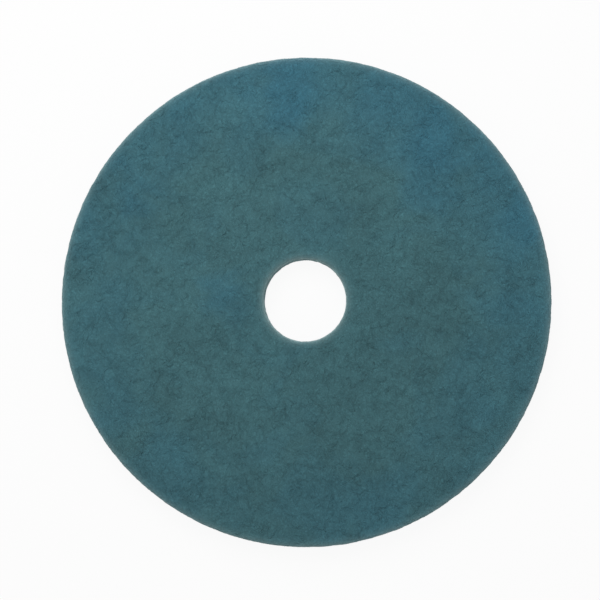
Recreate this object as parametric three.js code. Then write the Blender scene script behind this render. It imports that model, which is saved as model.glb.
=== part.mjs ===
// Floor polishing pad for a rotary floor machine, in millimetres, +Z up.
//
// The pad is one slab of springy nylon fibre, bonded with resin into a thick open web. A ring knife stamps the
// round outline and the centre hole out of the wide web in one stroke, so both cut walls have the same form:
// rolled over at the face where the knife went in, a little hollow at half height, and crisp where it came out.
// It has no joints, no backing and no ring in the hole, and either face can be turned to the floor.
//
// The origin is on the pad's axis, at the face that lies on the floor.
import * as THREE from "three";

// Driving dimensions
const padDiameter = 508; // the 20 inch size
const centreHoleDiameter = 85; // clears the centre lock of the pad driver
const padThickness = 25;
const knifeSideRoll = 4; // radius of the edges that the knife pulled in, on the upper face
const floorSideRoll = 1.5; // radius of the crisper edges where it came out
const wallHollow = 0.7; // how far each cut wall sinks in at half height, where the squeezed web sprang back

// Fineness of the facets
const turnSegments = 120; // round the axis
const knifeSideRollSegments = 5;
const floorSideRollSegments = 3;
const wallSegments = 4;

const fibreTeal = new THREE.Color(0x3e626a);

// A quarter round of the section about its centre. quartersTurned says where it starts, in quarter turns from
// the outward direction.
function quarterRound(centreRadius, centreHeight, radius, quartersTurned) {
  const start = (quartersTurned * Math.PI) / 2;
  return new THREE.EllipseCurve(centreRadius, centreHeight, radius, radius, start, start + Math.PI / 2, false);
}

// A cut wall of the section, between the two rolled edges. hollow is positive where the wall sinks towards
// a smaller radius, as the outer wall does, and negative for the wall of the hole.
function cutWall(wallRadius, fromHeight, toHeight, hollow) {
  const halfHeight = (fromHeight + toHeight) / 2;
  return new THREE.QuadraticBezierCurve(
    new THREE.Vector2(wallRadius, fromHeight),
    new THREE.Vector2(wallRadius - 2 * hollow, halfHeight),
    new THREE.Vector2(wallRadius, toHeight),
  );
}

// The pad's section right of the axis, as (radius, height) points that close on themselves, counter-clockwise:
// outer wall, upper face, wall of the hole, floor face. Each face is the straight run between two quarter rounds.
function padSection() {
  const outerRadius = padDiameter / 2;
  const holeRadius = centreHoleDiameter / 2;
  const wallFoot = floorSideRoll;
  const wallHead = padThickness - knifeSideRoll;
  const runs = [
    [cutWall(outerRadius, wallFoot, wallHead, wallHollow), wallSegments],
    [quarterRound(outerRadius - knifeSideRoll, wallHead, knifeSideRoll, 0), knifeSideRollSegments],
    [quarterRound(holeRadius + knifeSideRoll, wallHead, knifeSideRoll, 1), knifeSideRollSegments],
    [cutWall(holeRadius, wallHead, wallFoot, -wallHollow), wallSegments],
    [quarterRound(holeRadius + floorSideRoll, wallFoot, floorSideRoll, 2), floorSideRollSegments],
    [quarterRound(outerRadius - floorSideRoll, wallFoot, floorSideRoll, 3), floorSideRollSegments],
  ];
  const points = [];
  for (const [curve, segments] of runs) {
    for (const point of curve.getPoints(segments)) {
      const last = points[points.length - 1];
      if (!last || last.distanceTo(point) > 1e-6) points.push(point);
    }
  }
  points[points.length - 1] = points[0].clone();
  return points;
}

// The bonded fibre slab: its section turned once round the axis. The lathe turns about Y, and the pad's axis is Z.
function fibrePad() {
  const slab = new THREE.LatheGeometry(padSection(), turnSegments);
  slab.rotateX(Math.PI / 2);
  const web = new THREE.MeshStandardMaterial({ color: fibreTeal, roughness: 0.95, metalness: 0 });
  const mesh = new THREE.Mesh(slab, web);
  mesh.name = "fibre_pad";
  return mesh;
}

const floorPad = new THREE.Group();
floorPad.name = "floor_polishing_pad";
floorPad.add(fibrePad());

export default floorPad;
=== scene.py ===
# %% [markdown]
# A floor polishing pad, dressed in Blender
#
# The pad is a thick disc of crimped nylon strands, blown into a loose web, bonded with resin and stamped
# out by a ring knife. A CAD model gives its size and place. This notebook gives it its skin of strands,
# its colour, its light and its camera.
#
# The imported CAD model is loaded first, so that every later size can be read from it.

# %% Load the CAD model
import math
from itertools import product

import bpy
import numpy as np
from mathutils import Matrix, Vector


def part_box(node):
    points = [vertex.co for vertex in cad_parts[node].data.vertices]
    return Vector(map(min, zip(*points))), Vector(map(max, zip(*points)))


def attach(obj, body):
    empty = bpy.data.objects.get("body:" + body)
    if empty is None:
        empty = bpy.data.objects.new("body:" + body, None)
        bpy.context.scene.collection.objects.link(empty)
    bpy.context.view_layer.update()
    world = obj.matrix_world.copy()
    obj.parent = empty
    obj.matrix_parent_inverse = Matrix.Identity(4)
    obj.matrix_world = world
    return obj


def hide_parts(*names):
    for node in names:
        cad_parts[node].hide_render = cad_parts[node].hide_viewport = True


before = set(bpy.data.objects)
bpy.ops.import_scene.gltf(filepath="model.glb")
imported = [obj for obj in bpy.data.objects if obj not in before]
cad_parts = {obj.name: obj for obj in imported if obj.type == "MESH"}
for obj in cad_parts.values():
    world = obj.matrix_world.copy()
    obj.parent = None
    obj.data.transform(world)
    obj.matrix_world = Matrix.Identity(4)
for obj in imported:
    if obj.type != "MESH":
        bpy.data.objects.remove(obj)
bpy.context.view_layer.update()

# %% [markdown]
# Three sizes drive all that follows: the radius, the thickness and the radius of the centre hole. They
# could be typed in again, but reading them from the CAD slab keeps both models alike when a size changes.
# The hole is where the slab comes nearest to its axis.

# %% Read the sizes from the slab
MM = 0.001
slab_low, slab_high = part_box("fibre_pad")
slab_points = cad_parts["fibre_pad"].data.vertices
pad_radius = (slab_high[0] - slab_low[0]) / 2
pad_thickness = slab_high[2] - slab_low[2]
hole_radius = min(math.hypot(point.co.x, point.co.y) for point in slab_points)
print(f"radius {pad_radius / MM:.1f}, hole {hole_radius / MM:.1f}, thickness {pad_thickness / MM:.1f} mm")

# %% [markdown]
# The photograph looks straight down on the pad, a little off its axis. A camera could be turned by a
# constraint that tracks a target, but near the vertical such a constraint rolls the picture. Here the
# three axes of the camera are worked out instead, so that the pad's Y axis points up in the picture.

# %% Aim the camera
tilt_to_right = math.radians(2.6)
tilt_to_top = math.radians(-3.0)

towards_camera = Vector((
    math.sin(tilt_to_right) * math.cos(tilt_to_top),
    math.sin(tilt_to_top),
    math.cos(tilt_to_right) * math.cos(tilt_to_top),
))
camera_right = Vector((0, 1, 0)).cross(towards_camera).normalized()
camera_up = towards_camera.cross(camera_right)
camera_axes = Matrix((camera_right, camera_up, towards_camera)).transposed()
print(f"the camera looks along {-towards_camera}")

# %% [markdown]
# A long lens from far off flattens the pad, and a short one close by would show more of its walls. This
# one is a metre and a half away. Its length was found from the size of the pad in the picture, and its
# shift moves the pad to its place there without turning the camera.

# %% Place the camera
image_pixels = 600
camera_distance = 1.5  # metres from the middle of the upper face
lens_pixels = 1452.5  # the focal length, in pixels of the picture
middle_moved = Vector((4.6, -0.1)) / image_pixels  # right of and above the picture's middle

camera_data = bpy.data.cameras.new("photo_camera")
camera_data.lens = lens_pixels * camera_data.sensor_width / image_pixels
camera_data.shift_x = -middle_moved.x
camera_data.shift_y = -middle_moved.y
camera = bpy.data.objects.new("photo_camera", camera_data)
camera_place = Vector((0, 0, pad_thickness)) + towards_camera * camera_distance
camera.matrix_world = Matrix.Translation(camera_place) @ camera_axes.to_4x4()
bpy.context.scene.collection.objects.link(camera)
bpy.context.scene.camera = camera
print(f"camera lens {camera_data.lens:.0f} mm, {camera_distance} m above the pad")

# %% [markdown]
# The light is a studio's: a soft box above the pad's far edge, a little to the left. A small lamp would
# throw hard shadows between the strands, and a lamp straight above would light all of the pad alike. The
# box hangs fairly low, so that the far edge gets more of its light than the near one.

# %% Hang the soft box
lamp_place = Vector((-0.21, 0.62, 0.95))
lamp_size = 0.9
lamp_watts = 8.4

lamp_data = bpy.data.lights.new("soft_box", "AREA")
lamp_data.shape = "SQUARE"
lamp_data.size = lamp_size
lamp_data.energy = lamp_watts
lamp = bpy.data.objects.new("soft_box", lamp_data)
lamp.location = lamp_place
lamp.rotation_euler = (-lamp_place).to_track_quat("-Z", "Y").to_euler()
bpy.context.scene.collection.objects.link(lamp)
print(f"soft box, {lamp_size} m square, {lamp_watts} W, {lamp_place.length:.2f} m from the pad's foot")

# %% [markdown]
# The sky and all the materials are built from nodes. They could be wired by hand in the shader editor. In
# a script, two short helpers do it. One adds a node with its settings and feeds its inputs, with plain
# values or with the sockets of other nodes. The other does that for a Math node, the kind wanted most.

# %% Helpers that add a node
def add_node(tree, kind, inputs=None, **settings):
    """A node with its settings. inputs has a plain value or a socket for each input, by name or number."""
    node = tree.nodes.new(kind)
    for name, value in settings.items():
        setattr(node, name, value)
    for label, value in (inputs or {}).items():
        if isinstance(value, bpy.types.NodeSocket):
            tree.links.new(value, node.inputs[label])
        else:
            node.inputs[label].default_value = value
    return node


def math_node(tree, operation, *values, clamp=False):
    """A Math node. Each value is a number or a socket."""
    inputs = dict(enumerate(values))
    return add_node(tree, "ShaderNodeMath", inputs, operation=operation, use_clamp=clamp).outputs["Value"]


print("helpers add_node and math_node are ready")

# %% [markdown]
# An even sky fills the shadows, because the soft box alone would leave the gaps between the strands
# black. Sky and box together light a flat face to about the brightness at which its colour shows as it is
# written.
#
# For lighting, the sky is mid grey. The camera, mirrors and glass see it almost white, as a sweep of
# paper. A picture of a studio could do both, but the Light Path node tells the two kinds of ray apart
# without one.

# %% Light the sky
paper_white = 0.982
sky_strength = 0.55


def seen_directly(tree):
    """1 for rays from the camera, or by way of a mirror or glass, and 0 for rays that only light things."""
    path = tree.nodes.new("ShaderNodeLightPath").outputs
    by_mirror = math_node(tree, "ADD", path["Is Camera Ray"], path["Is Glossy Ray"])
    return math_node(tree, "ADD", by_mirror, path["Is Transmission Ray"], clamp=True)


sky = bpy.data.worlds.new("studio_sky")
sky.use_nodes = True
sky_tree = sky.node_tree
sky_tree.nodes.clear()
grey_or_white = {"Factor": seen_directly(sky_tree), "A": sky_strength, "B": paper_white}
brightness = add_node(sky_tree, "ShaderNodeMix", grey_or_white, data_type="FLOAT").outputs["Result"]
background = add_node(sky_tree, "ShaderNodeBackground", {"Color": (1, 1, 1, 1), "Strength": brightness})
add_node(sky_tree, "ShaderNodeOutputWorld", {"Surface": background.outputs["Background"]})
bpy.context.scene.world = sky
bpy.context.scene.view_settings.view_transform = "Standard"
print(f"sky of strength {sky_strength} for lighting, seen as {paper_white}")

# %% [markdown]
# The floor is white paper. Plain matt paper would turn grey wherever the lamp is weak. So for light that
# bounces it is matt, and for the camera most of its white is given off evenly. Three helpers make a matt
# shader, a glowing one and a blend of two.

# %% Helpers for the paper
def matt(tree, grey):
    return add_node(tree, "ShaderNodeBsdfDiffuse", {"Color": (grey, grey, grey, 1)}).outputs["BSDF"]


def glowing(tree, strength):
    return add_node(tree, "ShaderNodeEmission", {"Strength": strength}).outputs["Emission"]


def blend(tree, share, first, second):
    return add_node(tree, "ShaderNodeMixShader", {0: share, 1: first, 2: second}).outputs["Shader"]


print("helpers matt, glowing and blend are ready")

# %% [markdown]
# Near the pad a small share of the paper's white is lit by the lamp, so that the pad keeps its faint soft
# shadow on a background that stays pale. The lamp's light fades with distance. Further off the paper
# gives off all of its white, and it meets the sky without a line.

# %% Material of the paper
paper_bounce = 0.8
lit_share = 0.06  # of the white near the pad, lit by the lamp and shaded by the pad
lit_reach = 0.4  # metres from the pad's axis at which the lit share starts to fade
lit_fade = 0.8  # how much further off it is gone

paper = bpy.data.materials.new("white_paper")
paper.use_nodes = True
paper_tree = paper.node_tree
paper_tree.nodes.clear()
lit_part = matt(paper_tree, lit_share)
even_part = glowing(paper_tree, paper_white - lit_share)
near_the_pad = add_node(paper_tree, "ShaderNodeAddShader", {0: lit_part, 1: even_part}).outputs["Shader"]
paper_place = paper_tree.nodes.new("ShaderNodeTexCoord").outputs["Object"]
from_middle = add_node(paper_tree, "ShaderNodeVectorMath", {0: paper_place}, operation="LENGTH")
beyond_reach = math_node(paper_tree, "SUBTRACT", from_middle.outputs["Value"], lit_reach)
far_off = math_node(paper_tree, "DIVIDE", beyond_reach, lit_fade, clamp=True)
seen_paper = blend(paper_tree, far_off, near_the_pad, glowing(paper_tree, paper_white))
all_paper = blend(paper_tree, seen_directly(paper_tree), matt(paper_tree, paper_bounce), seen_paper)
add_node(paper_tree, "ShaderNodeOutputMaterial", {"Surface": all_paper})
print(f"{lit_share:.0%} of the paper's white is lit near the pad, none beyond {lit_reach + lit_fade:.1f} m")

# %% [markdown]
# The paper itself is one square face under the pad, made from its four corners. A plane could be added
# with an operator, but making the mesh directly doesn't depend on what is selected.

# %% Lay the paper on the floor
floor_half_width = 6.0
corner_signs = ((-1, -1), (1, -1), (1, 1), (-1, 1))

floor_mesh = bpy.data.meshes.new("paper_floor")
floor_corners = [(x * floor_half_width, y * floor_half_width, 0) for x, y in corner_signs]
floor_mesh.from_pydata(floor_corners, [], [(0, 1, 2, 3)])
floor_mesh.materials.append(paper)
paper_floor = bpy.data.objects.new("paper_floor", floor_mesh)
bpy.context.scene.collection.objects.link(paper_floor)
print(f"paper floor, {2 * floor_half_width:.0f} m square")

# %% [markdown]
# Nothing on a web of blown strands is flat or even: it swells and dips over a hand's width, gathers into
# tufts, and has small pits between them. All of that is one kind of noise at different sizes. Blender's
# own noise works on one point at a time. This one works on a whole table of points at once: random
# numbers on a lattice, blended smoothly between the lattice's points.

# %% Smooth noise for tables of points
LATTICE = 32


def smooth_noise(points, bump_size, seed):
    """Noise from -1 to 1 at points (..., 3) in metres, with bumps about bump_size across."""
    heights = np.random.default_rng(seed).uniform(-1, 1, (LATTICE, LATTICE, LATTICE))
    spot = points / bump_size
    corner = np.floor(spot).astype(int)
    share = spot - corner
    share = share * share * (3 - 2 * share)
    total = np.zeros(points.shape[:-1])
    for step in product((0, 1), repeat=3):
        weight = np.where(step, share, 1 - share).prod(axis=-1)
        x, y, z = np.moveaxis((corner + step) % LATTICE, -1, 0)
        total += weight * heights[x, y, z]
    return total


trial_line = np.linspace((hole_radius, 0, pad_thickness), (pad_radius, 0, pad_thickness), 200)
trial_noise = smooth_noise(trial_line, 8 * MM, seed=1)
print(f"noise along a line on the face runs from {trial_noise.min():.2f} to {trial_noise.max():.2f}")

# %% [markdown]
# The relief of the web is the sum of three such noises. In the cut walls the web shows its layers,
# because the strands settle flat as they are blown, so the noise is pressed together along the pad's
# axis. The knife leaves the walls more even than the faces, which keeps the outline round. A Displace
# modifier could do this for one mesh. As a function it also serves the strands that lie on the skin, so
# that they follow every dip.

# %% Relief of the web's skin
swell_height = 0.25 * MM
swell_size = 70 * MM
tuft_height = 0.42 * MM
tuft_size = 8 * MM
pit_height = 0.18 * MM
pit_size = 3.6 * MM
layers_pressed = 2.5
kept_in_a_cut = 0.35  # the share of the relief that the knife leaves
knife_reach = 4 * MM


def web_relief(points):
    """How far the skin lies out from its even form, in metres, at points (..., 3) of the even form."""
    pressed = points * (1, 1, layers_pressed)
    swell = swell_height * smooth_noise(pressed, swell_size, seed=11)
    tufts = tuft_height * smooth_noise(pressed, tuft_size, seed=12)
    pits = pit_height * smooth_noise(pressed, pit_size, seed=13)
    from_axis = np.linalg.norm(points[..., :2], axis=-1)
    from_cut = np.minimum(pad_radius - from_axis, from_axis - hole_radius)
    kept = kept_in_a_cut + (1 - kept_in_a_cut) * (from_cut / knife_reach).clip(0, 1)
    return (swell + tufts + pits) * kept


trial_relief = web_relief(trial_line) / MM
print(f"relief along that line runs from {trial_relief.min():.2f} to {trial_relief.max():.2f} mm")

# %% [markdown]
# Cut through from top to bottom, the pad shows its section: two walls with rolled edges between two flat
# faces. Its outline is put together from three kinds of run. Each is a table of (radius, height) points:
# a quarter of a round for a rolled edge, a shallow curve for a wall that sinks in, and evenly spaced
# points for a face.

# %% Runs of a section
ring_spacing = 2.5 * MM  # between the points of a face
wall_steps = 8


def quarter_round(centre_radius, centre_height, radius, quarters_turned, steps):
    angles = (quarters_turned + np.linspace(0, 1, steps + 1)) * math.pi / 2
    radii = centre_radius + radius * np.cos(angles)
    heights = centre_height + radius * np.sin(angles)
    return np.stack([radii, heights], axis=1)


def hollow_wall(wall_radius, from_height, to_height, hollow):
    share = np.linspace(0, 1, wall_steps + 1)[1:-1]
    heights = from_height + (to_height - from_height) * share
    return np.stack([wall_radius - 4 * hollow * share * (1 - share), heights], axis=1)


def face_run(from_radius, to_radius, height):
    steps = round(abs(to_radius - from_radius) / ring_spacing)
    radii = np.linspace(from_radius, to_radius, steps + 1)[1:-1]
    return np.stack([radii, np.full_like(radii, height)], axis=1)


print(f"a rolled edge of 3 steps has {len(quarter_round(0, 0, MM, 0, 3))} points")

# %% [markdown]
# The knife went in from above. It dragged the springy web down before it cut, so the upper edges are
# rolled over more, and the walls sprang back a little hollow at half height. The section runs up the
# outer wall, in over the upper face, down the wall of the hole and out under the floor face.
#
# The bonded core stays a little inside the true size, because the loose strands that are laid on it make
# up the difference.

# %% Section of the bonded core
skin_depth = 0.45 * MM
knife_side_roll = 4 * MM
floor_side_roll = 1.5 * MM
wall_hollow = 0.7 * MM
knife_side_steps = 5
floor_side_steps = 3

core_radius = pad_radius - skin_depth
core_hole_radius = hole_radius + skin_depth
core_foot = skin_depth
core_head = pad_thickness - skin_depth
wall_foot = core_foot + floor_side_roll
wall_head = core_head - knife_side_roll

section_runs = {
    "rim": np.concatenate([
        quarter_round(core_radius - floor_side_roll, wall_foot, floor_side_roll, 3, floor_side_steps),
        hollow_wall(core_radius, wall_foot, wall_head, wall_hollow),
        quarter_round(core_radius - knife_side_roll, wall_head, knife_side_roll, 0, knife_side_steps),
    ]),
    "upper": face_run(core_radius - knife_side_roll, core_hole_radius + knife_side_roll, core_head),
    "hole": np.concatenate([
        quarter_round(core_hole_radius + knife_side_roll, wall_head, knife_side_roll, 1, knife_side_steps),
        hollow_wall(core_hole_radius, wall_head, wall_foot, -wall_hollow),
        quarter_round(core_hole_radius + floor_side_roll, wall_foot, floor_side_roll, 2, floor_side_steps),
    ]),
    "lower": face_run(core_hole_radius + floor_side_roll, core_radius - floor_side_roll, core_foot),
}
print("rings in each run of the section:", {name: len(run) for name, run in section_runs.items()})

# %% [markdown]
# Turning the section makes the core, as a Screw modifier would. A plain turn has as many points on the
# small rings near the hole as on the large ones at the rim, though, so its faces get long and thin there.
# Here a ring has 144, 288 or 576 points by its size.

# %% Rings of the core
points_on_small_ring = 144
radius_of_doubling = (78 * MM, 150 * MM)

section = np.concatenate(list(section_runs.values()))
run_of_ring = np.repeat(list(section_runs), [len(run) for run in section_runs.values()])
doublings = sum((section[:, 0] > radius).astype(int) for radius in radius_of_doubling)
ring_points = points_on_small_ring * 2 ** doublings
ring_start = np.concatenate([[0], np.cumsum(ring_points)])
print(f"{len(section)} rings with {ring_points.sum()} points")

# %% [markdown]
# Between two rings with as many points each, two triangles fill every gap. Where the number doubles, each
# edge of the smaller ring meets two of the larger one, and three triangles fill the gap. That is why the
# core is built of triangles and not of squares.

# %% Triangles of the core
def band_triangles(ring):
    """Triangles between a ring and the next, facing out. Each corner is (ring, step round the ring)."""
    after = (ring + 1) % len(section)
    count, next_count = ring_points[ring], ring_points[after]
    k = np.arange(min(count, next_count))
    if count == next_count:
        patterns = [((ring, k), (ring, k + 1), (after, k + 1)), ((ring, k), (after, k + 1), (after, k))]
    elif count > next_count:
        patterns = [
            ((ring, 2 * k), (ring, 2 * k + 1), (after, k)),
            ((ring, 2 * k + 1), (ring, 2 * k + 2), (after, k + 1)),
            ((ring, 2 * k + 1), (after, k + 1), (after, k)),
        ]
    else:
        patterns = [
            ((ring, k), (after, 2 * k + 1), (after, 2 * k)),
            ((ring, k), (ring, k + 1), (after, 2 * k + 1)),
            ((ring, k + 1), (after, 2 * k + 2), (after, 2 * k + 1)),
        ]
    return np.concatenate([
        np.stack([np.stack([np.full_like(k, which), step], axis=1) for which, step in corners], axis=1)
        for corners in patterns
    ])


core_corners = np.concatenate([band_triangles(ring) for ring in range(len(section))])
core_rings, core_steps = core_corners[..., 0], core_corners[..., 1]
core_triangles = ring_start[core_rings] + core_steps % ring_points[core_rings]
print(f"{len(core_triangles)} triangles")

# %% [markdown]
# Each point of the core gets its even place first. On the two faces it is moved a little along the face
# at random, which hides the pattern of the rings. The way out of the skin is at right angles to the
# section.

# %% Even points of the core
loose_share = 0.3  # how far a point of a face may move, as a share of the gap to the next
loose = np.random.default_rng(21)


def around(radius, angle, height):
    return np.stack([radius * np.cos(angle), radius * np.sin(angle), height], axis=-1)


ring_of_point = np.repeat(np.arange(len(section)), ring_points)
turn_of_point = np.concatenate([np.arange(count) / count for count in ring_points])
on_a_face = np.isin(run_of_ring[ring_of_point], ("upper", "lower"))
shifts = loose.uniform(-loose_share, loose_share, (2, len(ring_of_point))) * on_a_face
point_radius = section[ring_of_point, 0] + shifts[0] * ring_spacing
point_angle = 2 * math.pi * (turn_of_point + shifts[1] / ring_points[ring_of_point])
even_points = around(point_radius, point_angle, section[ring_of_point, 1])

along_section = np.roll(section, -1, axis=0) - np.roll(section, 1, axis=0)
along_section /= np.linalg.norm(along_section, axis=1, keepdims=True)
out_of_section = along_section[:, ::-1] * (1, -1)
point_normals = around(out_of_section[ring_of_point, 0], point_angle, out_of_section[ring_of_point, 1])
print(f"{on_a_face.sum()} of {len(even_points)} points lie on a face")

# %% [markdown]
# Then the relief pushes each point in or out. The tufts that would reach below the floor are pressed
# flat, as the pad's own weight does it. Nothing else may go below the floor either, because the pad lies
# on it.

# %% Points of the core
clear_of_floor = 0.1 * MM

core_points = even_points + point_normals * web_relief(even_points)[:, None]
core_points[:, 2] = np.maximum(core_points[:, 2], clear_of_floor)
print(f"core from {core_points[:, 2].min() / MM:.2f} to {core_points[:, 2].max() / MM:.2f} mm high")

# %% [markdown]
# A map that bakes well has every face once, at an even size, with nothing overlapping. Blender's Smart UV
# Project would cut this skin into hundreds of islands. The map given here takes two discs for the faces,
# laid corner to corner, five strips for the rim and one for the wall of the hole, in the two corners that
# the discs leave free.

# %% Map of the core
MAP_NAME = "OFBake"
disc_width = 0.57  # the pad's diameter on the map, which is 1 wide
map_per_metre = disc_width / (2 * pad_radius)
disc_middle = {"upper": (0.29, 0.29), "lower": (0.71, 0.71)}
strip_corner = {"rim": (0.01, 0.95), "hole": (0.66, 0.03)}
strips_in_wall = {"rim": 5, "hole": 1}
strip_pitch = 0.045
rounding = 1e-9  # keeps a point that starts a strip out of the strip before

section_step = np.linalg.norm(np.diff(section, axis=0, append=section[:1]), axis=1)
along_at_ring = np.concatenate([[0], np.cumsum(section_step)])


def wall_rings(run):
    """The rings of a wall, and how far each lies along the section from the first of them."""
    rings = np.flatnonzero(run_of_ring == run)
    return rings, along_at_ring[rings] - along_at_ring[rings[0]]


def core_map():
    coordinates = np.zeros(core_corners.shape)
    runs = run_of_ring[core_rings]
    for run, middle in disc_middle.items():
        chosen = (runs == run).any(axis=1)
        coordinates[chosen] = middle + map_per_metre * even_points[core_triangles[chosen], :2]
    for run, corner in strip_corner.items():
        chosen = (runs == run).all(axis=1)
        rings = core_rings[chosen]
        own_rings = wall_rings(run)[0]
        turns = core_steps[chosen] / ring_points[rings] * strips_in_wall[run]
        strip = np.floor(turns.min(axis=1) + rounding)[:, None]
        strip_length = 2 * math.pi * section[own_rings, 0].mean() / strips_in_wall[run]
        along = along_at_ring[rings] - along_at_ring[own_rings[0]]
        coordinates[chosen, :, 0] = corner[0] + map_per_metre * strip_length * (turns - strip)
        coordinates[chosen, :, 1] = corner[1] - strip_pitch * strip + map_per_metre * along
    return coordinates


core_coordinates = core_map()
print(f"map of the core runs from {core_coordinates.min():.2f} to {core_coordinates.max():.2f}")

# %% [markdown]
# Every piece of the pad becomes a Blender object in the same way, so one helper does it. It keeps the
# even map that was worked out for the piece, and says that the piece moves with the slab. The pad is a
# springy soft thing.


def make_piece(name, points, faces, coordinates):
    """A smooth mesh piece of the pad. coordinates has a row for each corner of each face."""
    mesh = bpy.data.meshes.new(name)
    mesh.from_pydata(points.tolist(), [], faces)
    mesh.uv_layers.new(name=MAP_NAME).data.foreach_set("uv", coordinates.ravel())
    mesh.shade_smooth()
    piece = bpy.data.objects.new(name, mesh)
    bpy.context.scene.collection.objects.link(piece)
    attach(piece, "root")
    print(f"{name}: {len(points)} points, {len(faces)} faces")
    return piece


print("helper make_piece is ready")

# %% [markdown]
# The core is the first piece: the bonded web without the loose strands of its skin. It takes the place of
# the plain slab. The slab itself could have been kept and displaced, but its long faces are too few for
# the relief.

# %% Make the core
bonded_core = make_piece("bonded_core", core_points, core_triangles.tolist(), core_coordinates)
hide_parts("fibre_pad")

# %% [markdown]
# The skin of the real pad is a tangle of crimped strands. Curves with a bevel could draw them, but a
# bevelled curve is open at its ends and slow by the thousand. Here each strand is a closed tube with
# three sides, which smooth shading rounds off, and all the strands of a piece are made at once from
# tables of points.

# %% Strands as closed tubes
STRAND_SIDES = 3
blunt_end = 0.55  # thickness at the ends, as a share of the middle's


def strand_tubes(paths, outward, thickness):
    """Points and faces of tubes along paths (strands, points, 3). outward is the way up at each point."""
    forward = np.gradient(paths, axis=1)
    sideways = np.cross(forward, outward)
    sideways /= np.linalg.norm(sideways, axis=2, keepdims=True)
    lifted = np.cross(sideways, forward)
    lifted /= np.linalg.norm(lifted, axis=2, keepdims=True)
    from_middle = np.linspace(-1, 1, paths.shape[1])
    radius = thickness[:, None] / 2 * (1 - (1 - blunt_end) * from_middle ** 4)
    corner = math.pi / 2 + 2 * math.pi * np.arange(STRAND_SIDES)[:, None] / STRAND_SIDES
    ring = np.cos(corner) * sideways[:, :, None] + np.sin(corner) * lifted[:, :, None]
    points = paths[:, :, None] + radius[:, :, None, None] * ring
    index = np.arange(points.size // 3).reshape(points.shape[:3])
    here, ahead = index[:, :-1], index[:, 1:]
    walls = np.stack([here, ahead, np.roll(ahead, -1, axis=2), np.roll(here, -1, axis=2)], axis=-1)
    caps = np.concatenate([index[:, 0], index[:, -1, ::-1]])
    return points.reshape(-1, 3), walls.reshape(-1, 4).tolist() + caps.tolist()


trial_path = np.linspace((0, 0, 0), (10 * MM, 0, 0), 7)[None]
trial_points, trial_faces = strand_tubes(trial_path, np.array([0.0, 0.0, 1.0]), np.array([0.3 * MM]))
print(f"a strand of 6 lengths has {len(trial_points)} points and {len(trial_faces)} faces")

# %% [markdown]
# The map of a strand piece is a sheet of cells, one for each strand. A strand is long and thin, so the
# sheet has four times as many rows as columns, and every cell comes out four times as wide as it is high.
# Inside a margin it holds the tube rolled out flat. The two small end faces lie beside it, in the margin.

# %% Map of a strand piece
cell_shape = 4.0  # how many times as wide as high
cell_margin = 0.14
end_face_corners = ((0.2, 0.2), (0.2, 0.8), (0.8, 0.5))  # as shares of the margin beside the tube


def strand_map(strands, segments):
    """Map coordinates for each face corner that strand_tubes makes."""
    columns = math.ceil(math.sqrt(strands / cell_shape))
    rows = math.ceil(strands / columns)
    number = np.arange(strands)
    cell = np.stack([number % columns, number // columns], axis=1)
    along, side = np.meshgrid(np.arange(segments), np.arange(STRAND_SIDES), indexing="ij")
    corner_steps = np.array([(0, 0), (1, 0), (1, 1), (0, 1)])
    rolled_out = np.stack([along, side], axis=-1)[:, :, None] + corner_steps
    inside = cell_margin + (1 - 2 * cell_margin) * rolled_out / (segments, STRAND_SIDES)
    end_face = np.array(end_face_corners) * (cell_margin, 1)
    far_end_face = end_face + (1 - cell_margin, 0)
    walls = cell[:, None, None, None] + inside
    caps = np.concatenate([cell[:, None] + end_face, cell[:, None] + far_end_face])
    return np.concatenate([walls.reshape(-1, 2), caps.reshape(-1, 2)]) / (columns, rows)


print(f"the map of one strand has {len(strand_map(1, 6))} rows, one for each corner of its faces")

# %% [markdown]
# A web is blown from strands of unlike thickness, and the ones beneath the pad lie pressed against the
# floor. That holds for all the strands, so this helper does both, and then makes the tubes and their map.

# %% Helper that thickens paths into strands
thickness_spread = (0.8, 1.2)


def strands_along(paths, outward, thickness, chance):
    """Points, faces and map of strands along paths (strands, points, 3), none of them below the floor."""
    thick = thickness * chance.uniform(*thickness_spread, len(paths))
    off_floor = np.maximum(paths[..., 2], thick[:, None] / 2)
    paths = np.concatenate([paths[..., :2], off_floor[..., None]], axis=2)
    points, faces = strand_tubes(paths, outward, thick)
    return points, faces, strand_map(len(paths), paths.shape[1] - 1)


trial_points = strands_along(trial_path, np.array([0.0, 0.0, 1.0]), 0.3 * MM, np.random.default_rng(0))[0]
print(f"a strand pressed on the floor starts {trial_points[:, 2].min() / MM:.2f} mm above it")

# %% [markdown]
# A crimped strand wanders: it sets off in some direction, bends slowly one way, and waves from side to
# side as it goes. Its ends dip into the web, where resin holds them, and its middle stands a little
# proud. A physics run of falling hairs could settle the same tangle, but it would take hours and could
# not be steered.

# %% Paths of crimped strands
crimp_length = 19 * MM
crimp_swing = 0.6  # radians to each side
slow_bend = 1.2
buried_ends = 0.5 * MM
lowest_top = 0.1  # how proud the flattest strand is, as a share of the proudest


def crimped_plan(count, length, segments, heading, chance):
    """Flat paths (count, segments + 1, 2) about their own middles. heading has each strand's direction."""
    share = np.linspace(-0.5, 0.5, segments)
    bend = slow_bend * chance.normal(size=(count, 1)) * share
    wave = 2 * math.pi * (share * length / crimp_length + chance.uniform(size=(count, 1)))
    direction = heading[:, None] + bend + crimp_swing * np.sin(wave)
    moves = length / segments * np.stack([np.cos(direction), np.sin(direction)], axis=-1)
    plan = np.concatenate([np.zeros((count, 1, 2)), np.cumsum(moves, axis=1)], axis=1)
    return plan - plan.mean(axis=1, keepdims=True)


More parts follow.
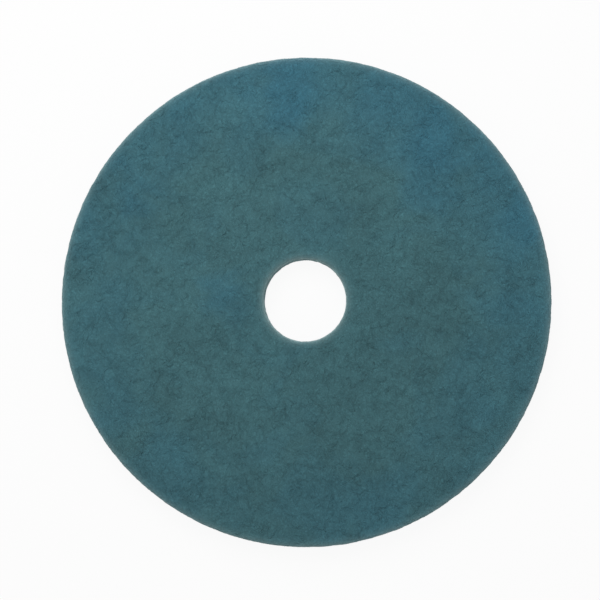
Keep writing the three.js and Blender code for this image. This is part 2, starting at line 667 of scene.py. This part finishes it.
def strand_lift(count, segments, proud, chance):
    """Height over the skin (count, segments + 1), up to proud in the middle and buried at the ends."""
    from_middle = np.linspace(-1, 1, segments + 1)
    top = chance.uniform(lowest_top, 1, (count, 1)) * proud
    return top * (1 - from_middle ** 2) - buried_ends * from_middle ** 4


trial_plan = crimped_plan(100, 27 * MM, 6, np.zeros(100), np.random.default_rng(0))
trial_spans = np.linalg.norm(trial_plan[:, -1] - trial_plan[:, 0], axis=1)
print(f"strands 27 mm long span {trial_spans.mean() / MM:.0f} mm on average")

# %% [markdown]
# The strands leave the blower in small bundles, so neighbours run side by side for a while, a little
# askew. They also gather in tufts. Scattering every strand by itself would give an even grey haze instead
# of the stringy look of the real face. So bundles of three are laid out, and more strands are kept where
# a noise is high.

# %% Bundles of strands, laid out flat
laid_for_each_kept = 2.1
in_a_bundle = 3
bundle_spread = 0.5 * MM
bundle_skew = 0.1  # radians between neighbours
tangle_size = 12 * MM
noise_to_beat = (-1, 0.4)  # a strand is kept where the noise is above a random number in this range
clear_of_edge = 1.5 * MM


def bundled_plans(count, length, segments, chance):
    """Flat paths of up to count strands, all of them between the hole and the rim."""
    bundles = math.ceil(count * laid_for_each_kept / in_a_bundle)
    heading = chance.uniform(0, 2 * math.pi, bundles)
    plan = np.repeat(crimped_plan(bundles, length, segments, heading, chance), in_a_bundle, axis=0)
    a_quarter_turn_on = plan[..., ::-1] * (-1, 1)
    plan += bundle_skew * chance.normal(size=(len(plan), 1, 1)) * a_quarter_turn_on
    radius = chance.uniform(hole_radius ** 2, pad_radius ** 2, bundles) ** 0.5
    bundle_middle = around(radius, chance.uniform(0, 2 * math.pi, bundles), np.zeros(bundles))
    middle = np.repeat(bundle_middle, in_a_bundle, axis=0)
    middle[:, :2] += bundle_spread * chance.normal(size=(len(plan), 2))
    plan += middle[:, None, :2]
    distance = np.linalg.norm(plan, axis=2)
    off_the_hole = distance.min(axis=1) > hole_radius + clear_of_edge
    off_the_rim = distance.max(axis=1) < pad_radius - clear_of_edge
    in_tuft = smooth_noise(middle, tangle_size, seed=31) > chance.uniform(*noise_to_beat, len(plan))
    return plan[off_the_hole & off_the_rim & in_tuft][:count]


trial_plan = bundled_plans(1000, 27 * MM, 6, np.random.default_rng(0))
print(f"{len(trial_plan)} of {1000 * laid_for_each_kept:.0f} trial strands kept")

# %% [markdown]
# On each face the flat paths are laid on the skin: they follow its relief, and they bend down with the
# rolled edges. A Shrinkwrap modifier could lay them there too, one object at a time. Here the height of
# the skin is known at every place, so it is added to the whole table.

# %% Helper that lays strands on a face
face_sides = {  # the height of the skin, the way out of it and the roll of its edges
    "upper": (core_head, 1, knife_side_roll),
    "lower": (core_foot, -1, floor_side_roll),
}


def face_strands(side, count, length, segments, thickness, proud, seed):
    chance = np.random.default_rng(seed)
    level, out, roll = face_sides[side]
    plan = bundled_plans(count, length, segments, chance)
    distance = np.linalg.norm(plan, axis=2)
    past_rim_side = distance - (core_radius - roll)
    past_hole_side = core_hole_radius + roll - distance
    past_flat = np.maximum(past_rim_side, past_hole_side).clip(0, roll)
    drop = roll - np.sqrt(roll ** 2 - past_flat ** 2)
    skin = np.concatenate([plan, np.full(plan.shape[:2] + (1,), level)], axis=2)
    lift = web_relief(skin) + strand_lift(len(plan), segments, proud, chance) - drop
    paths = skin + lift[..., None] * (0, 0, out)
    return strands_along(paths, np.array([0, 0, float(out)]), thickness, chance)


print("faces at", {side: f"{level / MM:.2f} mm" for side, (level, out, roll) in face_sides.items()})

# %% [markdown]
# The web is a blend of coarse and fine strands, and both show on the upper face. The floor face is seen
# less, so one kind is enough there.

# %% Lay the strands on both faces
coarse_thickness = 0.34 * MM
fine_thickness = 0.26 * MM
strand_segments = 6

face_strand_pieces = [
    make_piece(name, *face_strands(side, count, length, strand_segments, thickness, proud, seed))
    for name, side, count, length, thickness, proud, seed in (
        ("upper_coarse_strands", "upper", 5200, 27 * MM, coarse_thickness, 0.38 * MM, 41),
        ("upper_fine_strands", "upper", 5200, 21 * MM, fine_thickness, 0.3 * MM, 42),
        ("lower_strands", "lower", 4600, 27 * MM, coarse_thickness, 0.4 * MM, 43),
    )
]

# %% [markdown]
# A wall is laid with strands in the same way, rolled out flat: along it goes the way round, and up it
# goes the way along the section, from one rolled edge over the wall to the other. This helper turns such
# a flat place back into a point on the skin, with the direction that faces out there.

# %% Places on a cut wall
wall_radius = {"rim": core_radius, "hole": core_hole_radius}


def on_wall(run, angle, along, lift):
    """Points lift over the skin of a wall, at a way round and a way along its section, and the way out."""
    rings, ways = wall_rings(run)
    columns = (section[:, 0], section[:, 1], out_of_section[:, 0], out_of_section[:, 1])
    radius, height, out_radius, out_height = (np.interp(along, ways, column[rings]) for column in columns)
    normals = around(out_radius, angle, out_height)
    skin = around(radius, angle, height)
    return skin + (web_relief(skin) + lift)[..., None] * normals, normals


def wall_length(run):
    return wall_rings(run)[1][-1]


print("walls, from edge to edge:", {run: f"{wall_length(run) / MM:.1f} mm" for run in wall_radius})

# %% [markdown]
# In the walls the strands lie nearly level, as they settled in their layers before the knife came. They
# could be laid in bundles too, but a cut shows each of them for a short way only, so they are scattered
# one by one.

# %% Lay the strands round the two walls
level_spread = 0.32  # radians from level
wall_thickness = 0.32 * MM


def wall_strands(run, count, length, proud, seed):
    chance = np.random.default_rng(seed)
    plan = crimped_plan(count, length, strand_segments, chance.normal(0, level_spread, count), chance)
    angle = chance.uniform(0, 2 * math.pi, (count, 1)) + plan[..., 0] / wall_radius[run]
    along = chance.uniform(0, wall_length(run), (count, 1)) + plan[..., 1]
    lift = strand_lift(count, strand_segments, proud, chance)
    paths, outward = on_wall(run, angle, along.clip(0, wall_length(run)), lift)
    return strands_along(paths, outward, wall_thickness, chance)


wall_strand_pieces = [
    make_piece("rim_strands", *wall_strands("rim", 2600, 26 * MM, 0.35 * MM, seed=51)),
    make_piece("hole_strands", *wall_strands("hole", 450, 20 * MM, 0.3 * MM, seed=52)),
]

# %% [markdown]
# Where the knife went through, thousands of strands were cut, and their stubs stand out of the walls and
# the rolled edges by up to a millimetre. With painted light in their pale colour, they make the soft pale
# line round the pad and round its hole.
# Hair particles could grow them, but they would not be meshes. Each stub is a short tube that starts
# inside the web, leans a little to one side and curls on that way.

# %% Cut ends
stub_segments = 3
stub_thickness = 0.27 * MM
stub_root = 0.8 * MM  # how deep a stub starts in the web
stub_tip = 0.95 * MM
shortest_stub = 0.3  # as a share of the longest
stub_lean = 0.55
stub_curl = 0.3


def cut_ends(run, count, seed):
    chance = np.random.default_rng(seed)
    angle = chance.uniform(0, 2 * math.pi, count)
    along = chance.uniform(0, wall_length(run), count)
    foot, normals = on_wall(run, angle, along, np.zeros(count))
    lean = stub_lean * chance.normal(size=(count, 3))
    direction = normals + lean
    direction /= np.linalg.norm(direction, axis=1, keepdims=True)
    curl = stub_curl * np.cross(direction, lean)
    tip = stub_tip * chance.uniform(shortest_stub, 1, (count, 1))
    way = -stub_root + (tip + stub_root) * np.linspace(0, 1, stub_segments + 1)
    bent = (way / stub_tip) ** 2 * stub_tip * (way > 0)
    paths = foot[:, None] + way[..., None] * direction[:, None] + bent[..., None] * curl[:, None]
    round_the_pad = around(1.0, angle + math.pi / 2, np.zeros(count))
    return strands_along(paths, round_the_pad[:, None], stub_thickness, chance)


cut_end_pieces = [
    make_piece("rim_cut_ends", *cut_ends("rim", 3600, seed=61)),
    make_piece("hole_cut_ends", *cut_ends("hole", 1300, seed=62)),
]

# %% [markdown]
# Now the finish. Its recipes need a few more nodes from the shader editor: Map Range, Vector Math and
# Noise Texture. Each helper takes the tree that it adds to, then numbers or sockets, and gives back the
# socket with the result.

# %% Helpers for ranges, vectors and noise
def map_range(tree, value, from_min, from_max, to_min, to_max, smooth=True):
    """A Map Range node. Each number may also be a socket."""
    labels = ("Value", "From Min", "From Max", "To Min", "To Max")
    inputs = dict(zip(labels, (value, from_min, from_max, to_min, to_max)))
    easing = "SMOOTHSTEP" if smooth else "LINEAR"
    return add_node(tree, "ShaderNodeMapRange", inputs, interpolation_type=easing).outputs["Result"]


def vector_node(tree, operation, *vectors):
    """A Vector Math node. Each vector is a plain one or a socket."""
    node = add_node(tree, "ShaderNodeVectorMath", dict(enumerate(vectors)), operation=operation)
    return node.outputs["Value" if operation in ("DOT_PRODUCT", "LENGTH", "DISTANCE") else "Vector"]


def noise_node(tree, place, bump_size, detail=2.0, roughness=0.5, distortion=0.0):
    """A Noise Texture with bumps about bump_size across, in metres, as a number or a socket."""
    inputs = {
        "Vector": place, "Scale": math_node(tree, "DIVIDE", 1.0, bump_size),
        "Detail": detail, "Roughness": roughness, "Distortion": distortion,
    }
    return add_node(tree, "ShaderNodeTexNoise", inputs, noise_dimensions="3D").outputs["Fac"]


def object_place(tree):
    return tree.nodes.new("ShaderNodeTexCoord").outputs["Object"]


print("helpers map_range, vector_node, noise_node and object_place are ready")

# %% [markdown]
# Colours need two more helpers. One mixes two of them with a Mix node. The other makes a colour darker or
# lighter by multiplying it with a grey, which keeps its hue.

# %% Helpers for colours
MIX_INPUTS = (0, 6, 7)  # the share and the two colours, among the inputs of a Mix node
MIX_RESULT = 2  # the mixed colour, among its outputs


def mix_colours(tree, share, first, second, blend_type="MIX"):
    """A Mix node for colours. The share and both colours may be sockets or plain values."""
    inputs = dict(zip(MIX_INPUTS, (share, first, second)))
    node = add_node(tree, "ShaderNodeMix", inputs, data_type="RGBA", blend_type=blend_type)
    return node.outputs[MIX_RESULT]


def shaded_colour(tree, colour, shade):
    """The colour times a shade, where 1 leaves it as it is."""
    grey = add_node(tree, "ShaderNodeCombineColor", {"Red": shade, "Green": shade, "Blue": shade})
    return mix_colours(tree, 1.0, colour, grey.outputs["Color"], blend_type="MULTIPLY")


print("helpers mix_colours and shaded_colour are ready")

# %% [markdown]
# An effect that more than one material uses is built once, as a node group. It takes named inputs, so
# each material can use it with its own values. Copying the nodes into every material would work too, but
# then a change has to be made in all of them.

# %% Helper that starts a node group
def new_group(name, inputs, outputs):
    """A shader node group. inputs has a default value for each name, and outputs a socket type."""
    tree = bpy.data.node_groups.new(name, "ShaderNodeTree")
    for label, value in inputs.items():
        kind = "NodeSocketFloat" if isinstance(value, (int, float)) else "NodeSocketColor"
        tree.interface.new_socket(label, in_out="INPUT", socket_type=kind).default_value = value
    for label, kind in outputs.items():
        tree.interface.new_socket(label, in_out="OUTPUT", socket_type=kind)
    print(f"node group {name} takes {list(inputs)} and gives {list(outputs)}")
    return tree, tree.nodes.new("NodeGroupInput").outputs, tree.nodes.new("NodeGroupOutput").inputs


print("helper new_group is ready")

# %% [markdown]
# The first group is the dye. It isn't even: the teal turns bluer in a band near the rim, most of all
# towards the upper right, and in a few places where the dye bath pooled. A painted mask could place that,
# but a distance from the axis, a direction and a list of pools give it without a picture. A soft noise
# frays their edges, and a cloudier one makes the whole web lighter and darker.

# %% Values of the dye
grey_teal = (0.0624, 0.1670, 0.1887, 1)
blue_teal = (0.0481, 0.1690, 0.2282, 1)
blue_band = (0.58, 0.90)  # shares of the radius between which the blue sets in
bluer_side = Vector((0.5, 0.87, 0))
blue_across = (0.2, 0.65)  # how blue the band is on the far side from there, and on that side
patch_blue = 0.2  # how much a patch adds or takes away
patch_noise = (0.3, 0.7)  # values of the noise at which a patch is least and most blue
patch_shift = Vector((2.17, 3.29, 0))  # a noise goes on without end, and its shift picks what shows
cloud_noise = (0.2, 0.8)  # values of the noise at which the web is darkest and lightest
cloud_shift = Vector((0.94, 0.62, 0))
dye_pools = (  # the middle, the reach and the strength of each
    (Vector((-12, 225, 0)) * MM, 65 * MM, 1.0),
    (Vector((150, 165, 0)) * MM, 105 * MM, 0.85),
    (Vector((225, 85, 0)) * MM, 60 * MM, 0.9),
    (Vector((-190, 115, 0)) * MM, 60 * MM, 0.75),
    (Vector((205, -90, 0)) * MM, 45 * MM, 0.6),
    (Vector((-82, 5, 0)) * MM, 34 * MM, 0.45),
)
print(f"two teals and {len(dye_pools)} pools")

# %% [markdown]
# In the group the stronger of the band and the pools counts, and the patches add to it or take from it.
# The sum is the share of blue, which mixes the two teals. The clouds come last, as a shade of the mixed
# colour.

# %% Node group: dye drift
def dye_drift_group():
    inputs = {
        "Grey Teal": grey_teal, "Blue Teal": blue_teal, "Pad Radius": pad_radius,
        "Patch Size": 0.075, "Cloud Size": 0.060, "Cloud Depth": 0.28,
    }
    tree, inside, outside = new_group("dye_drift", inputs, {"Color": "NodeSocketColor"})
    place = object_place(tree)
    flat_place = vector_node(tree, "MULTIPLY", place, Vector((1, 1, 0)))
    way_out = math_node(tree, "DIVIDE", vector_node(tree, "LENGTH", flat_place), inside["Pad Radius"])
    in_band = map_range(tree, way_out, *blue_band, 0, 1)
    towards_side = vector_node(tree, "DOT_PRODUCT", flat_place, bluer_side)
    way_across = math_node(tree, "DIVIDE", towards_side, inside["Pad Radius"])
    share_across = map_range(tree, way_across, -1, 1, *blue_across, smooth=False)
    blue = math_node(tree, "MULTIPLY", in_band, share_across)
    patch_place = vector_node(tree, "ADD", place, patch_shift)
    patches = noise_node(tree, patch_place, inside["Patch Size"], detail=2.5, distortion=0.6)
    patchy = map_range(tree, patches, *patch_noise, -patch_blue, patch_blue)
    frayed = math_node(tree, "MULTIPLY", patchy, inside["Patch Size"])
    for middle, reach, strength in dye_pools:
        from_middle = math_node(tree, "SUBTRACT", vector_node(tree, "DISTANCE", flat_place, middle), frayed)
        blue = math_node(tree, "MAXIMUM", blue, map_range(tree, from_middle, 0, reach, strength, 0))
    blue = math_node(tree, "ADD", blue, patchy, clamp=True)
    teal = mix_colours(tree, blue, inside["Grey Teal"], inside["Blue Teal"])
    cloud_place = vector_node(tree, "ADD", place, cloud_shift)
    cloudy = noise_node(tree, cloud_place, inside["Cloud Size"], detail=5.0, roughness=0.9)
    darkest = math_node(tree, "SUBTRACT", 1.0, inside["Cloud Depth"])
    lightest = math_node(tree, "ADD", 1.0, inside["Cloud Depth"])
    shade = map_range(tree, cloudy, *cloud_noise, darkest, lightest, smooth=False)
    tree.links.new(shaded_colour(tree, teal, shade), outside["Color"])
    return tree


dye_drift = dye_drift_group()

# %% [markdown]
# The second group draws the strands that lie too deep or too close to be modelled. Where a smooth noise
# passes through its middle value, the points form long winding lines. Three such sets of lines make a
# tangle. A Voronoi texture has lines too, but they meet in corners like dry mud. The group gives a mask,
# in which the top set of lines is the brightest, and a height, in which lines that cross add up. The
# mask carries painted shade: the gaps and the deeper sets of lines come out darker.

# %% Node group: strand lines
line_sets = 3
finer_each_set = 0.22
set_shift = Vector((0.37, 0.11, 0.23))  # moves each set of lines to another part of the noise
noise_middle = 0.5  # the middle value of a Noise Texture, which draws the lines


def strand_lines_group():
    inputs = {"Strand Spacing": 0.004, "Line Share": 0.12, "Layers Pressed": 1.0}
    outputs = {"Lines": "NodeSocketFloat", "Height": "NodeSocketFloat"}
    tree, inside, outside = new_group("strand_lines", inputs, outputs)
    pressing = add_node(tree, "ShaderNodeCombineXYZ", {"X": 1, "Y": 1, "Z": inside["Layers Pressed"]})
    place = vector_node(tree, "MULTIPLY", object_place(tree), pressing.outputs["Vector"])
    lines, height = 0.0, 0.0
    for number in range(line_sets):
        moved = vector_node(tree, "ADD", place, set_shift * (number + 1))
        spacing = math_node(tree, "MULTIPLY", inside["Strand Spacing"], 1 - finer_each_set * number)
        winding = noise_node(tree, moved, spacing, detail=1.0, distortion=0.9)
        from_line = math_node(tree, "ABSOLUTE", math_node(tree, "SUBTRACT", winding, noise_middle))
        line = map_range(tree, from_line, 0, inside["Line Share"], 1, 0)
        # painted shade: the deeper a set of lines lies, the darker it is in the mask
        set_height = (number + 1) / line_sets
        lines = math_node(tree, "MAXIMUM", lines, math_node(tree, "MULTIPLY", line, set_height))
        height = math_node(tree, "ADD", height, line)
    tree.links.new(lines, outside["Lines"])
    tree.links.new(math_node(tree, "DIVIDE", height, float(line_sets)), outside["Height"])
    return tree


strand_lines = strand_lines_group()

# %% [markdown]
# The third group is the paler line along every cut edge. It is partly the uncoated ends of the cut strands
# and partly painted light: a light rim on the rolled upper edges, and light on the wall of the hole, which
# faces away from the lamp. It measures how far a point lies from the rim and from the hole, and the
# paleness falls off over a few millimetres. It is strongest on the rolled upper edges and in the wall of
# the hole. The Pointiness of the Geometry node also finds edges, but here it would find every strand.

# %% Node group: cut edges, with painted edge light
halvings_in_reach = 2.0  # how often the paleness halves within its reach


def bare_ends_and_edge_light_group():
    inputs = {
        "Pad Radius": pad_radius, "Hole Radius": hole_radius, "Pad Thickness": pad_thickness,
        "Reach": 0.0031, "Roll Share": 0.78, "Roll Height": 0.009, "Wall Share": 0.4,
        "Hole Share": 0.9, "Hole Depth": 0.003,
    }
    tree, inside, outside = new_group("bare_ends_and_edge_light", inputs, {"Edge": "NodeSocketFloat"})
    place = object_place(tree)
    from_axis = vector_node(tree, "LENGTH", vector_node(tree, "MULTIPLY", place, Vector((1, 1, 0))))
    from_rim = math_node(tree, "SUBTRACT", inside["Pad Radius"], from_axis)
    from_hole = math_node(tree, "SUBTRACT", from_axis, inside["Hole Radius"])
    reaches_in = math_node(tree, "DIVIDE", math_node(tree, "MINIMUM", from_rim, from_hole), inside["Reach"])
    falling = math_node(tree, "POWER", 2.0, math_node(tree, "MULTIPLY", reaches_in, -halvings_in_reach))
    height = vector_node(tree, "DOT_PRODUCT", place, Vector((0, 0, 1)))
    below_top = math_node(tree, "SUBTRACT", inside["Pad Thickness"], height)
    # paler on the rolled upper edges than down the walls: bare ends with a painted light rim
    share = map_range(tree, below_top, 0, inside["Roll Height"], inside["Roll Share"], inside["Wall Share"])
    edge = math_node(tree, "MULTIPLY", falling, share)
    # painted light on the shaded wall of the hole, over its bare ends
    hole_wall_light = map_range(tree, from_hole, 0, inside["Hole Depth"], inside["Hole Share"], 0)
    tree.links.new(math_node(tree, "MAXIMUM", edge, hole_wall_light, clamp=True), outside["Edge"])
    return tree


bare_ends_and_edge_light = bare_ends_and_edge_light_group()

# %% [markdown]
# All the web's materials are resin on nylon, matt and only a little glossy, so they share a start: a
# Principled shader with its plain numbers set on the shader itself. They share an end too, where their
# colour and roughness go into the shader, and a Bump node gives the finest relief, which would take
# millions of faces as a mesh.

# %% Start and end of each web material
# the pale colour at the cut edges: the bare nylon of the cut ends, with painted light
uncoated_and_edge_light = (0.350, 0.510, 0.520, 1)
web_specular = 0.2
web_sheen = 0.05
sheen_roughness = 0.5


def use_group(tree, group, **values):
    """A copy of a node group in a material. In the names of its inputs, _ stands for a space."""
    inputs = {label.replace("_", " "): value for label, value in values.items()}
    return add_node(tree, "ShaderNodeGroup", inputs, node_tree=group).outputs


def new_web_material(name):
    """A material, with its tree and its Principled shader."""
    material = bpy.data.materials.new(name)
    material.use_nodes = True
    tree = material.node_tree
    shader = next(node for node in tree.nodes if node.type == "BSDF_PRINCIPLED")
    shader.inputs["Specular IOR Level"].default_value = web_specular
    shader.inputs["Sheen Weight"].default_value = web_sheen
    shader.inputs["Sheen Roughness"].default_value = sheen_roughness
    print(f"material {name}")
    return material, tree, shader


def feed_shader(tree, shader, colour, roughness, height, depth):
    """Links a finish to the shader. height is a relief from 0 to 1, and depth is how deep it goes."""
    bump = add_node(tree, "ShaderNodeBump", {"Strength": 1.0, "Distance": depth, "Height": height})
    finish = {"Base Color": colour, "Roughness": roughness, "Normal": bump.outputs["Normal"]}
    for label, value in finish.items():
        tree.links.new(value, shader.inputs[label])


print(f"the uncoated nylon is {uncoated_and_edge_light[1] / grey_teal[1]:.1f} times as light as the teal")

# %% [markdown]
# The core is seen only between the strands. Its colour carries painted shade: it is darker than they are
# where the gaps run deep, and nearly as light as they are where the lines of deeper strands cross it. It
# is roughest in the gaps, because dust and resin crumbs stay there.

# %% Material of the core
# painted shade: the core's colour in the gaps between the strand lines
painted_gap_shade = 0.72
core_line_shade = 1.05
# core_paleness mixes in the pale edge colour, which carries painted light
core_paleness = 0.95  # how far the cut edges show the uncoated nylon
core_roughness = (1.0, 0.8)  # in the gaps and on the highest lines
core_bump = 0.6 * MM


def bonded_web_material():
    material, tree, shader = new_web_material("bonded_web")
    dye = use_group(tree, dye_drift)["Color"]
    lines = use_group(tree, strand_lines, Strand_Spacing=0.0032, Line_Share=0.1, Layers_Pressed=1.6)
    edge = use_group(tree, bare_ends_and_edge_light)["Edge"]
    # painted shade: the core is darkest in the gaps and lightest on the top lines
    dyed = shaded_colour(tree, dye, map_range(tree, lines["Lines"], 0, 1, painted_gap_shade, core_line_shade))
    paler = mix_colours(tree, math_node(tree, "MULTIPLY", edge, core_paleness), dyed, uncoated_and_edge_light)
    roughness = map_range(tree, lines["Height"], 0, 1, *core_roughness)
    feed_shader(tree, shader, paler, roughness, lines["Height"], core_bump)
    return material


bonded_core.data.materials.append(bonded_web_material())

# %% [markdown]
# The strands are the brightest part of the web. No two took up the same amount of dye and resin. A
# material for each would be thousands of them, but the Geometry node's Random Per Island gives every
# strand its own number in one material. Along a strand the coat of resin comes and goes, and makes it
# lighter, smoother and thicker.

# %% Helper for the strands' materials
strand_shades = (1.02, 1.32)  # of the dye's colour, for the darkest and the lightest strands
own_share = 0.6  # the part of the shade that is the strand's own, and not the coat's
shade_numbers = (0.1, 0.9)  # the mixed numbers of the darkest and the lightest strands
resin_patch = 6 * MM
coat_noise = (0.3, 0.7)  # values of the noise where the coat is thin and where it is thick
coat_roughness = (0.92, 0.66)  # in the same two places
coat_bump = 0.1 * MM


def strand_material(name, paleness, pale_edge_colour):
    """Coated strands. paleness is how far the cut edges take the pale edge colour: bare nylon with painted
    light.
    """
    material, tree, shader = new_web_material(name)
    dye = use_group(tree, dye_drift)["Color"]
    own_number = tree.nodes.new("ShaderNodeNewGeometry").outputs["Random Per Island"]
    coat = noise_node(tree, object_place(tree), resin_patch, detail=3.0)
    own_part = math_node(tree, "MULTIPLY", own_number, own_share)
    mixed = math_node(tree, "ADD", own_part, math_node(tree, "MULTIPLY", coat, 1 - own_share))
    dyed = shaded_colour(tree, dye, map_range(tree, mixed, *shade_numbers, *strand_shades, smooth=False))
    edge = use_group(tree, bare_ends_and_edge_light)["Edge"]
    paler = mix_colours(tree, math_node(tree, "MULTIPLY", edge, paleness), dyed, pale_edge_colour)
    roughness = map_range(tree, coat, *coat_noise, *coat_roughness)
    feed_shader(tree, shader, paler, roughness, coat, coat_bump)
    return material


print(f"strands are {strand_shades[0]} to {strand_shades[1]} times as light as the dye")

# %% [markdown]
# The long strands are coated all along and only fade near a cut. The stubs are cut ends themselves, so
# near the edge they show the nylon almost fully, and their tips are nearly as pale as the strands were
# before the dye. Both pale colours also carry painted light along the cut edges and in the hole. One
# recipe with two strengths does for both.

# %% Materials of the strands and the cut ends
# the stubs' pale colour: nylon before the dye, with painted light along the cut edges
undyed_and_edge_light = (0.460, 0.600, 0.610, 1)
long_paleness = 0.95
# stub_paleness also carries the painted light of the cut edges
stub_paleness = 1.6  # more than 1, so that a stub is all bare from a little before the edge

coated_strands = strand_material("coated_strands", long_paleness, pale_edge_colour=uncoated_and_edge_light)
for piece in face_strand_pieces + wall_strand_pieces:
    piece.data.materials.append(coated_strands)

cut_strands = strand_material("cut_strands", stub_paleness, pale_edge_colour=undyed_and_edge_light)
for piece in cut_end_pieces:
    piece.data.materials.append(cut_strands)
